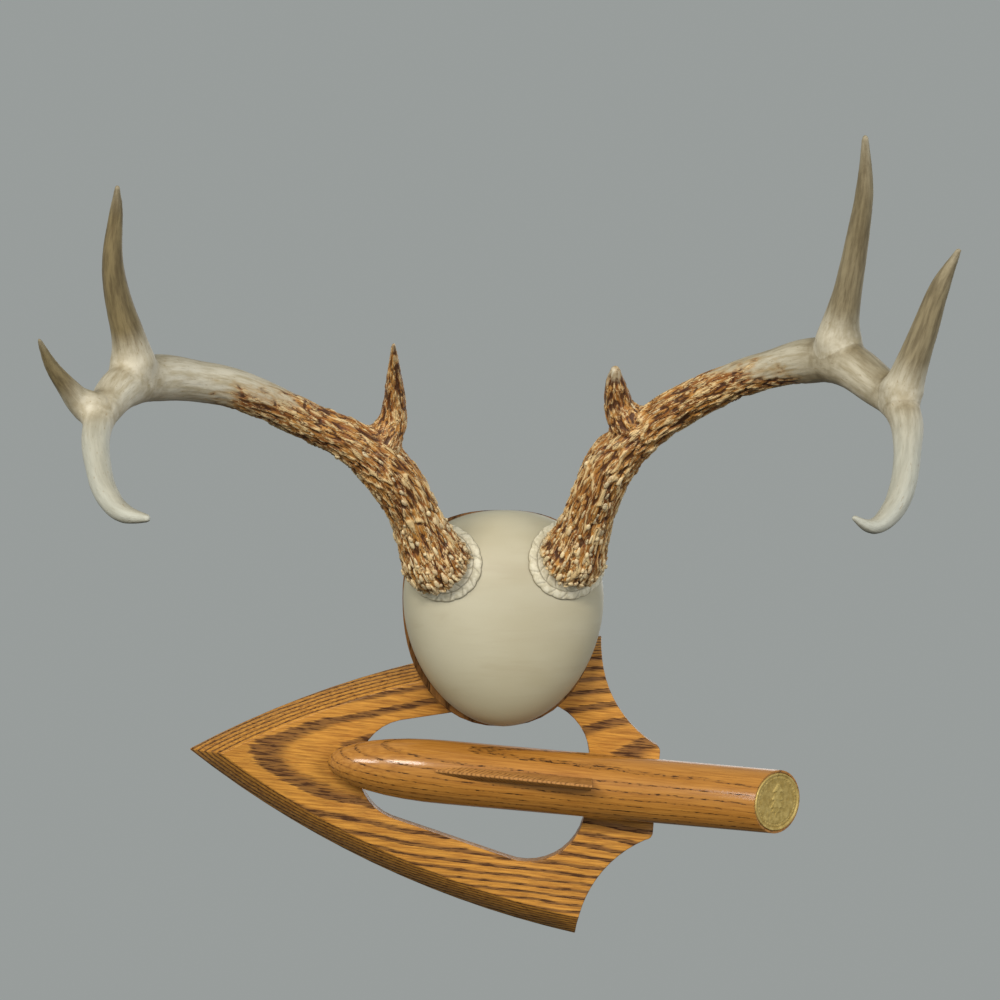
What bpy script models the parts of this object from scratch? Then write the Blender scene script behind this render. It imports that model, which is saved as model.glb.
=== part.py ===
"""A pair of whitetail deer antlers on a skull-cap cover, hung on an oak plaque shaped like a broadhead.

Everything is drawn in plan coordinates (right, up, out from the wall) under one turned empty, so the wall is
the world plane y = 0 and the antlers reach towards -Y. Left and right are the viewer's.
"""

import math

import bmesh
import bpy
from mathutils import Vector

MM = 0.001
GAP = 0.3 * MM
CUTTER_WIDTH = 50 * MM
CUTTER_OVERRUN = 10 * MM

# Broadhead plaque: an arrow head that points left and dips slightly to the right.
TIP = (-158.0 * MM, -38.5 * MM)
DIP = math.radians(5.1)
BOARD_THICKNESS = 19.0 * MM
BOARD_CORNER = (201.5 * MM, 75.0 * MM)
BOARD_REAR = 235.5 * MM
EDGE_RADIUS = 490.0 * MM
EDGE_BEVEL = (9.0 * MM, 13.0 * MM)
REAR_ARC_RADIUS = 57.5 * MM
REAR_ARC_SWEEP = math.radians(62.0)
REAR_ROUND = 4.0 * MM
WINDOW_NOSE = (111.5 * MM, 25.5 * MM)
WINDOW_CORNER = (172.5 * MM, 12.0 * MM)
WINDOW_CORNER_RADIUS = 28.25 * MM
WINDOW_FLARE = math.radians(106.0)

# Shaft: a 1 1/4 inch dowel with a planed back, an ogive nose and a mitred end that carries the medallion.
SHAFT_RADIUS = 15.875 * MM
SHAFT_PROUD = 26.0 * MM
SHAFT_NOSE = 70.5 * MM
SHAFT_NOSE_LENGTH = 60.0 * MM
SHAFT_NOSE_POWER = 2.2
SHAFT_FACE = 295.2 * MM
SHAFT_RAISE = 1.4 * MM
MITRE = math.radians(52.0)
SHAFT_AXIS_OUT = BOARD_THICKNESS + SHAFT_PROUD - SHAFT_RADIUS
MEDALLION_RADII = (19.3 * MM, 14.4 * MM)
MEDALLION_THICKNESS = 1.2 * MM
RECESS_DEPTH = 1.2 * MM

# Third blade of the broadhead, a thin wedge along the front of the shaft.
THIRD_BLADE_SPAN = (124.7 * MM, 202.0 * MM)
THIRD_BLADE_WIDTH = 6.5 * MM
THIRD_BLADE_HEIGHT = 14.0 * MM
THIRD_BLADE_RIDGE = 1.0 * MM
THIRD_BLADE_RAISE = 1.3 * MM

# Skull-cap cover and the oak backer behind it, both egg shaped.
CAP_CENTRE_UP = 38.0 * MM
CAP_HALF_WIDTH = 49.8 * MM
CAP_TOP = 43.8 * MM
CAP_BOTTOM = 63.7 * MM
CAP_TOP_POWER = 2.2
CAP_BOTTOM_POWER = 1.9
CAP_CROWN = 31.0 * MM
CAP_CROWN_POWER = 2.2
CAP_WALL = 2.0 * MM
BACKER_THICKNESS = 11.7 * MM
BACKER_SHIFT = -1.4 * MM
BACKER_NARROWING = 0.98
BACKER_SQUARENESS = 0.3
BACKER_FRONT = BOARD_THICKNESS + GAP + BACKER_THICKNESS
CAP_BASE_OUT = BACKER_FRONT + GAP
SKULL_MARGIN = 7.0 * MM
SKULL_CROWN_MARGIN = 9.0 * MM

# Pedicles, collars and the foot of each antler: its place on the cap and the way that the bone leaves it.
PEDICLE_RADIUS = 11.5 * MM
PEDICLE_DEPTH = 14.0 * MM
PEDICLE_REACH = 9.0 * MM
COLLAR_INNER_RADIUS = 12.5 * MM
COLLAR_OUTER_RADIUS = 20.0 * MM
COLLAR_HEIGHT = 2.8 * MM
FEET = {
    "left": {"place": (-31.0 * MM, 56.5 * MM), "axis": (-0.42, 0.25, 0.87)},
    "right": {"place": (33.0 * MM, 58.0 * MM), "axis": (0.42, 0.25, 0.87)},
}

# Antlers: each row is right, up, out and radius, in millimetres, from the burr to the tip.
ANTLERS = {
    "left": {
        "beam": (
            (-33, 56, 59, 15), (-35, 58, 62, 18), (-37, 64, 66, 14.5), (-42, 77, 74, 12.5),
            (-48, 89, 83, 12.7), (-57, 102, 93, 12.8), (-73, 115, 105, 10.3), (-92, 124, 117, 9),
            (-126, 139, 145, 9.4), (-143, 142, 161, 9.7), (-159, 143, 180, 11), (-170, 140, 198, 10.7),
            (-177, 132, 218, 8.8), (-181, 117, 241, 6.6), (-178, 101, 260, 5.8), (-173, 89, 274, 5.4),
            (-165, 81, 284, 4.5), (-154, 79, 293, 2),
        ),
        "brow_tine": ((-57, 104, 94, 6), (-53, 124, 98, 6.1), (-52, 139, 108, 4.5), (-52, 160, 130, 1.2)),
        "second_tine": (
            (-169, 141, 195, 7), (-169, 154, 201, 7.8), (-174, 179, 218, 5.9),
            (-175, 195, 229, 4.7), (-172, 216, 241, 3.1), (-171, 225, 247, 1.4),
        ),
        "third_tine": (
            (-179, 127, 224, 5), (-186, 128, 229, 5.4), (-194, 137, 239, 4.4),
            (-200, 146, 249, 3.1), (-204, 157, 261, 1.2),
        ),
    },
    "right": {
        "beam": (
            (34, 57, 59, 15), (36, 59, 62, 18), (37, 65, 66, 14.5), (41, 78, 74, 12.3),
            (45, 89, 82, 12.1), (53, 106, 93, 12.7), (73, 124, 108, 9.9), (89, 134, 121, 9.6),
            (109, 143, 139, 8.8), (125, 148, 155, 8.8), (140, 151, 172, 10.5), (154, 150, 191, 10.9),
            (168, 139, 212, 9.5), (178, 127, 231, 8.2), (178, 108, 253, 6.1), (173, 89, 271, 5.8),
            (167, 80, 280, 4.9), (159, 75, 288, 3.5), (151, 79, 294, 1.4),
        ),
        "brow_tine": ((54, 110, 95, 6), (55, 131, 106, 6.2), (53, 142, 115, 4.8), (53, 148, 121, 2.6)),
        "second_tine": (
            (152, 149, 188, 7), (153, 164, 194, 8.2), (156, 182, 205, 6.4),
            (159, 204, 219, 5.3), (161, 226, 234, 4), (160, 247, 246, 1.6),
        ),
        "third_tine": (
            (177, 131, 227, 6), (181, 145, 235, 7.4), (187, 164, 247, 6),
            (192, 181, 257, 4.5), (199, 196, 267, 1.3),
        ),
    },
}
TINES = ("brow_tine", "second_tine", "third_tine")

COLOURS = {
    "oak": ((0.42, 0.18, 0.05, 1.0), 0.35, 0.0),
    "oak_dark": ((0.22, 0.09, 0.025, 1.0), 0.4, 0.0),
    "brass": ((0.40, 0.30, 0.12, 1.0), 0.35, 1.0),
    "cover": ((0.56, 0.48, 0.34, 1.0), 0.5, 0.0),
    "collar": ((0.53, 0.52, 0.42, 1.0), 0.55, 0.0),
    "skull": ((0.62, 0.54, 0.40, 1.0), 0.7, 0.0),
    "antler": ((0.36, 0.24, 0.13, 1.0), 0.5, 0.0),
}


def clear_scene():
    for thing in list(bpy.data.objects):
        bpy.data.objects.remove(thing, do_unlink=True)


def new_collection(name):
    group = bpy.data.collections.new(name)
    bpy.context.scene.collection.children.link(group)
    return group


def new_material(name):
    colour, roughness, metallic = COLOURS[name]
    finish = bpy.data.materials.new(name)
    finish.use_nodes = True
    shader = finish.node_tree.nodes["Principled BSDF"]
    shader.inputs["Base Color"].default_value = colour
    shader.inputs["Roughness"].default_value = roughness
    shader.inputs["Metallic"].default_value = metallic
    return finish


clear_scene()
parts = new_collection("antler_broadhead_mount")
cutters = new_collection("cutters")
finishes = {name: new_material(name) for name in COLOURS}

plan = bpy.data.objects.new("plan_to_wall", None)
plan.rotation_euler = (math.radians(90.0), 0.0, 0.0)
parts.objects.link(plan)
arrow = bpy.data.objects.new("arrow_axis", None)
arrow.parent = plan
arrow.location = (TIP[0], TIP[1], 0.0)
arrow.rotation_euler = (0.0, 0.0, -DIP)
parts.objects.link(arrow)


def place(name, data, parent, finish=None):
    """A new object: a sub-part when it has a finish, otherwise a helper that only cuts or joins."""
    thing = bpy.data.objects.new(name, data)
    thing.parent = parent
    if finish:
        data.materials.append(finishes[finish])
        parts.objects.link(thing)
    else:
        thing.hide_render = True
        thing.display_type = "WIRE"
        cutters.objects.link(thing)
    return thing


def mesh_from(name, shape):
    mesh = bpy.data.meshes.new(name)
    bmesh.ops.recalc_face_normals(shape, faces=shape.faces)
    shape.to_mesh(mesh)
    shape.free()
    return mesh


def cut(thing, tool, operation="DIFFERENCE"):
    boolean = thing.modifiers.new(operation.lower() + "_" + tool.name, "BOOLEAN")
    boolean.object = tool
    boolean.operation = operation
    boolean.solver = "EXACT"


def smooth(thing, angle=40.0):
    thing.data.shade_smooth()
    thing.data.set_sharp_from_angle(angle=math.radians(angle))


def mesh_of_curve(thing):
    """Swaps a curve object for a mesh one in the same place, with the caps welded on."""
    bpy.context.view_layer.update()
    graph = bpy.context.evaluated_depsgraph_get()
    mesh = bpy.data.meshes.new_from_object(thing.evaluated_get(graph))
    shape = bmesh.new()
    shape.from_mesh(mesh)
    bmesh.ops.remove_doubles(shape, verts=shape.verts, dist=0.01 * MM)
    bmesh.ops.recalc_face_normals(shape, faces=shape.faces)
    shape.to_mesh(mesh)
    shape.free()
    name, group = thing.name, thing.users_collection[0]
    solid = bpy.data.objects.new(name + "_mesh", mesh)
    solid.parent, solid.matrix_basis = thing.parent, thing.matrix_basis
    solid.hide_render, solid.display_type = thing.hide_render, thing.display_type
    bpy.data.objects.remove(thing)
    solid.name = mesh.name = name
    group.objects.link(solid)
    return solid


def flat_shape(name, outlines, low, high, parent, finish=None):
    """A flat board from closed outlines, from one height out of the wall to another."""
    curve = bpy.data.curves.new(name, "CURVE")
    curve.dimensions = "2D"
    curve.fill_mode = "BOTH"
    curve.extrude = (high - low) / 2
    for outline in outlines:
        spline = curve.splines.new("POLY")
        spline.points.add(len(outline) - 1)
        for point, (x, y) in zip(spline.points, outline):
            point.co = (x, y, 0.0, 1.0)
        spline.use_cyclic_u = True
    thing = place(name, curve, parent, finish)
    thing.location.z = (low + high) / 2
    return mesh_of_curve(thing)


def turned_shape(name, profile, steps, parent, finish=None):
    """A profile of (radius, height) points turned about the local Z axis. It runs top to bottom."""
    mesh = bpy.data.meshes.new(name)
    closed = profile[0][0] > 0
    edges = [(i, i + 1) for i in range(len(profile) - 1)]
    if closed:
        edges.append((len(profile) - 1, 0))
    mesh.from_pydata([(r, 0.0, h) for r, h in profile], edges, [])
    thing = place(name, mesh, parent, finish)
    screw = thing.modifiers.new("turn", "SCREW")
    screw.axis = "Z"
    screw.steps = screw.render_steps = steps
    screw.use_merge_vertices = True
    screw.merge_threshold = 0.00001
    return thing


def arc(centre, radius, start, end, count):
    """Points along an arc, in radians, both ends included."""
    turns = [start + (end - start) * i / (count - 1) for i in range(count)]
    return [(centre[0] + radius * math.cos(t), centre[1] + radius * math.sin(t)) for t in turns]


def mirrored(points):
    """The same points below the axis, in the order that closes the outline."""
    return points + [(x, -y) for x, y in reversed(points)]


def cutting_edge_centre():
    half = Vector(BOARD_CORNER) / 2
    inward = Vector((half.y, -half.x)).normalized()
    return half + inward * math.sqrt(EDGE_RADIUS**2 - half.length_squared)


def blade_outline():
    """The upper half runs from the tip along the cutting edge, then down the hollow rear edge."""
    centre = cutting_edge_centre()
    start = math.atan2(-centre.y, -centre.x)
    end = math.atan2(BOARD_CORNER[1] - centre.y, BOARD_CORNER[0] - centre.x)
    edge = arc(centre, EDGE_RADIUS, start, end, 15)
    hollow_centre = (BOARD_CORNER[0] + REAR_ARC_RADIUS, BOARD_CORNER[1])
    hollow = arc(hollow_centre, REAR_ARC_RADIUS, math.pi, math.pi + REAR_ARC_SWEEP, 13)
    last = hollow[-1]
    heel = arc((BOARD_REAR - REAR_ROUND, last[1] - REAR_ROUND), REAR_ROUND, math.radians(60.0), 0.0, 5)
    return mirrored(edge + hollow[1:] + heel)[:-1]


def window_outline():
    nose = arc((WINDOW_NOSE[0], 0.0), WINDOW_NOSE[1], math.pi, WINDOW_FLARE, 8)
    corner = arc(WINDOW_CORNER, WINDOW_CORNER_RADIUS, WINDOW_FLARE, 0.0, 12)
    return mirrored(nose + corner)[:-1]


def build_blade():
    outlines = [blade_outline(), window_outline()]
    board = flat_shape("blade_plaque", outlines, 0.0, BOARD_THICKNESS, arrow, "oak")
    run, rise = EDGE_BEVEL
    slope = rise / run
    inner, outer = EDGE_RADIUS - run - 2 * MM, EDGE_RADIUS + 3 * MM
    top = BOARD_THICKNESS + 2 * MM * slope
    profile = [(outer, top), (outer, top - (outer - inner) * slope), (inner, top)]
    centre = cutting_edge_centre()
    for side, name in ((1, "upper"), (-1, "lower")):
        ring = turned_shape(name + "_bevel_cutter", profile, 160, arrow)
        ring.location = (centre.x, centre.y * side, 0.0)
        cut(board, ring)
    return board


def shaft_radius(along):
    t = min((along - SHAFT_NOSE) / SHAFT_NOSE_LENGTH, 1.0)
    return SHAFT_RADIUS * math.sqrt(1.0 - (1.0 - t) ** SHAFT_NOSE_POWER)


def block_cutter(name, size, centre, parent, tilt=0.0):
    shape = bmesh.new()
    bmesh.ops.create_cube(shape, size=1.0)
    bmesh.ops.scale(shape, vec=size, verts=shape.verts)
    block = place(name, mesh_from(name, shape), parent)
    block.location = centre
    block.rotation_euler.y = tilt
    return block


def oval_disc(name, radii, thickness, rise, finish=None):
    """An oval disc on the mitred face, with its underside this far above the face."""
    shape = bmesh.new()
    bmesh.ops.create_cone(shape, cap_ends=True, segments=48, radius1=1.0, radius2=1.0, depth=1.0)
    bmesh.ops.scale(shape, vec=(radii[0], radii[1], thickness), verts=shape.verts)
    disc = place(name, mesh_from(name, shape), arrow, finish)
    disc.rotation_euler.y = MITRE
    out = Vector((math.sin(MITRE), 0.0, math.cos(MITRE)))
    disc.location = Vector((SHAFT_FACE, SHAFT_RAISE, SHAFT_AXIS_OUT)) + out * (rise + thickness / 2)
    return disc


def build_shaft():
    end = SHAFT_FACE + 3 * SHAFT_RADIUS
    turns = [math.radians(90.0) * i / 9 for i in range(9, -1, -1)]
    nose = [SHAFT_NOSE + SHAFT_NOSE_LENGTH * (1.0 - math.cos(turn)) for turn in turns]
    profile = [(0.0, end), (SHAFT_RADIUS, end)] + [(shaft_radius(a), a) for a in nose]
    shaft = turned_shape("shaft", profile, 40, arrow, "oak")
    shaft.location = (0.0, SHAFT_RAISE, SHAFT_AXIS_OUT)
    shaft.rotation_euler.y = math.radians(90.0)
    back = BOARD_THICKNESS + GAP
    planed = BOARD_REAR + GAP
    slab = (planed, CUTTER_WIDTH, back)
    cut(shaft, block_cutter("planed_back_cutter", slab, (planed / 2, 0.0, back / 2), arrow))
    size = 60 * MM
    face = Vector((SHAFT_FACE, SHAFT_RAISE, SHAFT_AXIS_OUT))
    beyond = face + Vector((math.sin(MITRE), 0.0, math.cos(MITRE))) * size / 2
    cut(shaft, block_cutter("mitre_cutter", (1.5 * size, size, size), beyond, arrow, MITRE))
    recess_radii = [radius + GAP for radius in MEDALLION_RADII]
    cut(shaft, oval_disc("recess_cutter", recess_radii, RECESS_DEPTH + 2 * MM, -RECESS_DEPTH))
    smooth(shaft)
    medallion = oval_disc("medallion", MEDALLION_RADII, MEDALLION_THICKNESS, GAP - RECESS_DEPTH, "brass")
    smooth(medallion)


def build_third_blade():
    """A wedge with a thin ridge, hollowed below to sit on the round shaft."""
    front, rear = THIRD_BLADE_SPAN
    foot = SHAFT_AXIS_OUT + SHAFT_RADIUS - 1 * MM
    half = THIRD_BLADE_WIDTH / 2
    ridge = THIRD_BLADE_RIDGE / 2
    top = foot + THIRD_BLADE_HEIGHT
    shoulder = front + 12 * MM
    shape = bmesh.new()
    for side in (-1, 1):
        for corner in (
            (front, side * ridge, foot), (front, side * ridge, foot + 2 * MM),
            (shoulder, side * half, foot), (rear, side * half, foot), (rear, side * ridge, top),
        ):
            shape.verts.new(corner)
    bmesh.ops.convex_hull(shape, input=shape.verts)
    fin = place("third_blade", mesh_from("third_blade", shape), arrow, "oak_dark")
    fin.location.y = SHAFT_RAISE + THIRD_BLADE_RAISE
    seat = SHAFT_RADIUS + GAP
    low, high = front - CUTTER_OVERRUN, rear + CUTTER_OVERRUN
    seat_profile = [(0.0, high), (seat, high), (seat, low), (0.0, low)]
    bed = turned_shape("third_blade_seat_cutter", seat_profile, 40, arrow)
    bed.location = (0.0, SHAFT_RAISE, SHAFT_AXIS_OUT)
    bed.rotation_euler.y = math.radians(90.0)
    cut(fin, bed)


def egg_radius(angle, grow=0.0, squareness=0.0):
    """Distance from the cap's centre to its egg outline, in plan. Squareness fills the outline's corners."""
    upper = math.sin(angle) >= 0.0
    power = (CAP_TOP_POWER if upper else CAP_BOTTOM_POWER) + squareness
    tall = (CAP_TOP if upper else CAP_BOTTOM) + grow
    wide = CAP_HALF_WIDTH + grow
    total = abs(math.cos(angle) / wide) ** power + abs(math.sin(angle) / tall) ** power
    return total ** (-1.0 / power)


def backer_outline(count=56):
    """The cover's egg, slightly narrower and squarer, so that it shows only past the cover's corners."""
    turns = [math.tau * i / count for i in range(count)]
    reach = [egg_radius(t, squareness=BACKER_SQUARENESS) for t in turns]
    return [(r * math.cos(t) * BACKER_NARROWING, r * math.sin(t)) for r, t in zip(reach, turns)]


def crown_out(right, up, grow=0.0):
    """How far out of the wall the cover's surface is, above a place on it."""
    away = Vector((right, up - CAP_CENTRE_UP))
    share = away.length / egg_radius(math.atan2(away.y, away.x), grow)
    rise = (1.0 - share**CAP_CROWN_POWER) ** (1.0 / CAP_CROWN_POWER)
    return CAP_BASE_OUT + (CAP_CROWN + grow) * rise


def dome(name, grow, crown_grow, closed, segments=36, rings=18):
    """Half a sphere drawn out to the egg outline and to the crown's flatter curve."""
    shape = bmesh.new()
    bmesh.ops.create_uvsphere(shape, u_segments=segments, v_segments=rings, radius=1.0)
    low = [v for v in shape.verts if v.co.z < -0.001]
    bmesh.ops.delete(shape, geom=low, context="VERTS")
    for v in shape.verts:
        angle = math.atan2(v.co.y, v.co.x)
        share = min(math.hypot(v.co.x, v.co.y), 1.0) ** (2.0 / CAP_CROWN_POWER)
        rise = max(v.co.z, 0.0) ** (2.0 / CAP_CROWN_POWER)
        reach = egg_radius(angle, grow) * share
        v.co = (reach * math.cos(angle), reach * math.sin(angle), (CAP_CROWN + crown_grow) * rise)
    if closed:
        bmesh.ops.holes_fill(shape, edges=shape.edges, sides=segments)
    return mesh_from(name, shape)


def on_cap(thing):
    thing.location = (0.0, CAP_CENTRE_UP, CAP_BASE_OUT)
    return thing


def foot_of(side):
    right, up = FEET[side]["place"]
    return Vector((right, up, crown_out(right, up))), Vector(FEET[side]["axis"]).normalized()


def along_axis(thing, point, axis):
    thing.location = point
    thing.rotation_mode = "QUATERNION"
    thing.rotation_quaternion = axis.to_track_quat("Z", "Y")
    return thing


def round_bar(name, radius, low, high, side):
    """A helper cylinder on a pedicle's axis, between two heights over the cover."""
    shape = bmesh.new()
    bmesh.ops.create_cone(shape, cap_ends=True, segments=28, radius1=radius, radius2=radius, depth=high - low)
    point, axis = foot_of(side)
    return along_axis(place(name, mesh_from(name, shape), plan), point + axis * (low + high) / 2, axis)


def build_cap():
    backer = flat_shape("backer", [backer_outline()], BOARD_THICKNESS + GAP, BACKER_FRONT, plan, "oak_dark")
    backer.location.x, backer.location.y = BACKER_SHIFT, CAP_CENTRE_UP
    cover = on_cap(place("cap_cover", dome("cap_cover", 0.0, 0.0, False), plan, "cover"))
    wall = cover.modifiers.new("wall", "SOLIDIFY")
    wall.thickness = CAP_WALL
    wall.offset = -1.0
    for side in FEET:
        cut(cover, round_bar(side + "_hole_cutter", COLLAR_INNER_RADIUS, -PEDICLE_DEPTH, PEDICLE_REACH, side))
    smooth(cover)


def build_collar(side):
    """A low band that follows the cover round the pedicle, close under the burr."""
    name = side + "_collar"
    collar = on_cap(place(name, dome(name, COLLAR_HEIGHT, COLLAR_HEIGHT, True), plan, "collar"))
    tall = 30 * MM
    profile = [
        (COLLAR_INNER_RADIUS, tall), (COLLAR_OUTER_RADIUS, tall),
        (COLLAR_OUTER_RADIUS, -tall), (COLLAR_INNER_RADIUS, -tall),
    ]
    ring = along_axis(turned_shape(name + "_ring", profile, 36, plan), *foot_of(side))
    cut(collar, ring, "INTERSECT")
    cut(collar, on_cap(place(name + "_clearance", dome(name + "_clearance", GAP, GAP, True), plan)))


def build_skull_plate(beam_clearances):
    """The sawn plate of skull under the cover, with the two pedicles that carry the antlers."""
    margins = (-SKULL_MARGIN, -SKULL_CROWN_MARGIN)
    skull = on_cap(place("skull_plate", dome("skull_plate", *margins, True, 28, 12), plan, "skull"))
    for side, clearance in beam_clearances.items():
        cut(skull, round_bar(side + "_pedicle", PEDICLE_RADIUS, -PEDICLE_DEPTH, PEDICLE_REACH, side), "UNION")
        cut(skull, clearance)


def branch(name, rows, finish=None, grow=0.0):
    """A tapering tube through the rows, drawn as a curve whose radius changes from point to point."""
    curve = bpy.data.curves.new(name, "CURVE")
    curve.dimensions = "3D"
    curve.bevel_depth = MM
    curve.bevel_resolution = 4
    curve.resolution_u = 3
    curve.use_fill_caps = True
    spline = curve.splines.new("BEZIER")
    spline.bezier_points.add(len(rows) - 1)
    back = (Vector(rows[0][:3]) - Vector(rows[1][:3])).normalized() * grow / MM
    for i, (point, row) in enumerate(zip(spline.bezier_points, rows)):
        point.co = (Vector(row[:3]) + (back if i == 0 else Vector())) * MM
        point.radius = row[3] + grow / MM
        point.handle_left_type = point.handle_right_type = "AUTO"
    tube = mesh_of_curve(place(name, curve, plan, finish))
    smooth(tube, 60.0)
    return tube


def build_antler(side):
    """The main beam, and three tines that meet it at their forks. Returns the beam grown by the gap."""
    rows = ANTLERS[side]
    branch(side + "_beam", rows["beam"], "antler")
    clearance = branch(side + "_beam_clearance", rows["beam"], grow=GAP)
    for tine in TINES:
        cut(branch(side + "_" + tine, rows[tine], "antler"), clearance)
    return clearance


build_blade()
build_shaft()
build_third_blade()
build_cap()
for antler_side in FEET:
    build_collar(antler_side)
build_skull_plate({antler_side: build_antler(antler_side) for antler_side in FEET})
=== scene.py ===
import math

import bmesh
import bpy
import numpy as np
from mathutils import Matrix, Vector, noise


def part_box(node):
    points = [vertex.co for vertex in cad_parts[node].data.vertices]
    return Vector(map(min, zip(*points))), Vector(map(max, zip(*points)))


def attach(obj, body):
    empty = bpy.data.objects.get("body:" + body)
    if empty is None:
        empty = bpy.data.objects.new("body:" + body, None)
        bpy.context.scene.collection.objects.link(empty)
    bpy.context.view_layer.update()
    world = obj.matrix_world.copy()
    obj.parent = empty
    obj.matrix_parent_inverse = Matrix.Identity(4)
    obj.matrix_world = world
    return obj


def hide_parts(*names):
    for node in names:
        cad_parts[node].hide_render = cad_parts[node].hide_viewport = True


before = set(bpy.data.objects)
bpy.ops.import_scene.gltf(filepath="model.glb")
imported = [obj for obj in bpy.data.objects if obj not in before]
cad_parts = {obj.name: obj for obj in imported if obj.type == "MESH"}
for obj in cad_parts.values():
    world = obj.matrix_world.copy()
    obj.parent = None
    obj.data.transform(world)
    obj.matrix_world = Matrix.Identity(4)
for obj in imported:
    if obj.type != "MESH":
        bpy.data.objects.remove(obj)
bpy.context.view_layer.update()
print("frame loaded")

mm = 0.001
ringSides = 12  # corners in each ring of a traced branch

studio = {
    "eye": (-0.0017, -2.0, 0.0868),
    "lens": 142.6,
    "sky": "#CBD1CF",
    "ground": "#5E5F5C",
    "strength": 0.53,
    "fade": (-0.85, -0.1),  # from ground to sky, by the height that a ray points to
}

# name: place, aimed at, width, height, power, colour
studioLamps = {
    "keyLight": ((-1.3, -2.1, 1.05), (0.0, -0.1, 0.05), 0.7, 0.6, 28.0, "#FFFAF2"),
    "keyLightTwo": ((-0.45, -2.2, 1.15), (0.0, -0.1, 0.05), 0.5, 0.5, 18.5, "#FFFAF2"),
    "fillLight": ((1.4, -2.2, 0.6), (0.0, -0.1, 0.05), 1.0, 1.0, 24.5, "#FAFAFF"),
    "backLight": ((0.9, 2.1, 0.6), (0.0, 0.0, 0.05), 1.4, 1.4, 7.0, "#FFFFFF"),
}


def linear(code, alpha=1.0):
    # a #RRGGBB colour as the linear numbers that the shaders use
    parts = [int(code[i:i + 2], 16) / 255 for i in (1, 3, 5)]
    return (*(c / 12.92 if c <= 0.04045 else ((c + 0.055) / 1.055) ** 2.4 for c in parts), alpha)


def smoothStep(low, high, value):
    share = np.clip((value - low) / (high - low), 0.0, 1.0)
    return share * share * (3.0 - 2.0 * share)


class Value:
    # a number socket that takes part in sums

    def __init__(self, finish, socket):
        self.finish = finish
        self.socket = socket

    def math(self, operation, *others):
        return self.finish.node("Math", {"operation": operation}, dict(enumerate((self, *others))))

    def __add__(self, other):
        return self.math("ADD", other)

    __radd__ = __add__

    def __sub__(self, other):
        return self.math("SUBTRACT", other)

    def __rsub__(self, other):
        return self.finish.node("Math", {"operation": "SUBTRACT"}, {0: other, 1: self})

    def __mul__(self, other):
        return self.math("MULTIPLY", other)

    __rmul__ = __mul__

    def __truediv__(self, other):
        return self.math("DIVIDE", other)

    def __abs__(self):
        return self.math("ABSOLUTE")

    def fract(self):
        return self.math("FRACT")

    def step(self, low, high):
        # 0 below low, 1 above high, and smooth between
        settings = {"interpolation_type": "SMOOTHSTEP"}
        inputs = {"Value": self, "From Min": low, "From Max": high}
        if low > high:
            inputs.update({"From Min": high, "From Max": low, "To Min": 1.0, "To Max": 0.0})
        return self.finish.node("MapRange", settings, inputs)


class Finish:
    # one node material, with short ways to add what it needs

    def __init__(self, name, **constants):
        self.material = bpy.data.materials.new(name)
        self.material.use_nodes = True
        self.tree = self.material.node_tree
        self.shader = self.tree.nodes["Principled BSDF"]
        for socket, value in constants.items():
            self.shader.inputs[socket.replace("_", " ")].default_value = value

    def node(self, kind, settings=None, inputs=None, output=0):
        made = self.tree.nodes.new("ShaderNode" + kind)
        for key, value in (settings or {}).items():
            setattr(made, key, value)
        for key, value in (inputs or {}).items():
            self.feed(self.socketOf(made, key), value)
        return Value(self, made.outputs[output])

    def socketOf(self, made, key):
        if isinstance(key, int):
            return made.inputs[key]
        exact = [s for s in made.inputs if s.identifier == key]
        return exact[0] if exact else made.inputs[key]

    def feed(self, socket, value):
        if isinstance(value, Value):
            self.tree.links.new(value.socket, socket)
        else:
            socket.default_value = value

    def colour(self, factor, first, second, blend="MIX"):
        # a mix of two colours, each a link or a #RRGGBB code
        ends = [linear(end) if isinstance(end, str) else end for end in (first, second)]
        inputs = {"Factor_Float": factor, "A_Color": ends[0], "B_Color": ends[1]}
        return self.node("Mix", {"data_type": "RGBA", "blend_type": blend}, inputs, 2)

    def place(self, shift=(0, 0, 0), turn=(0, 0, 0)):
        # where a point is on the object in mm, moved and turned
        spot = self.node("TexCoord", output=3)
        inputs = {"Vector": spot, "Location": shift, "Rotation": turn, "Scale": (1 / mm,) * 3}
        return self.node("Mapping", {}, inputs)

    def attribute(self, name, output=2):
        # output 1 is the vector and 2 the number
        return self.node("Attribute", {"attribute_name": name}, output=output)

    def stretched(self, vector, size):
        return self.node("Mapping", {}, {"Vector": vector, "Scale": size})

    def cloud(self, vector, scale, detail=3.0, roughness=0.55, twist=0.0):
        inputs = {"Vector": vector, "Scale": scale, "Detail": detail, "Roughness": roughness}
        inputs["Distortion"] = twist
        return self.node("TexNoise", {"noise_dimensions": "3D"}, inputs)

    def fibres(self, vector, size, detail, roughness=0.55, twist=0.0):
        # a cloud drawn out along the grain
        return self.cloud(self.stretched(vector, size), 1.0, detail, roughness, twist)

    def split(self, vector):
        made = self.tree.nodes.new("ShaderNodeSeparateXYZ")
        self.feed(made.inputs[0], vector)
        return [Value(self, output) for output in made.outputs]

    def bump(self, height, depth, strength=1.0):
        return self.node("Bump", {}, {"Height": height, "Distance": depth, "Strength": strength})

    def surface(self, **links):
        for socket, value in links.items():
            self.feed(self.shader.inputs[socket.replace("_", " ")], value)
        return self.material


oakGrain = {
    "light": "#DC9D44",
    "warm": "#8C5320",
    "dark": "#553827",
    "pore": "#40271A",
    "ringStep": 44.0,  # along the board's face, in mm
    "ringDepth": 2.9,  # through the board's thickness, in mm
    "firstRing": 31.0,
    "board": 19.0,
    "archSpread": 11.0,
    "archFoot": 37.0,
    "archSlope": 0.07,
    "fleckTurn": math.radians(-31.0),  # of the flecks on the blade that faces the viewer
}

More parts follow.
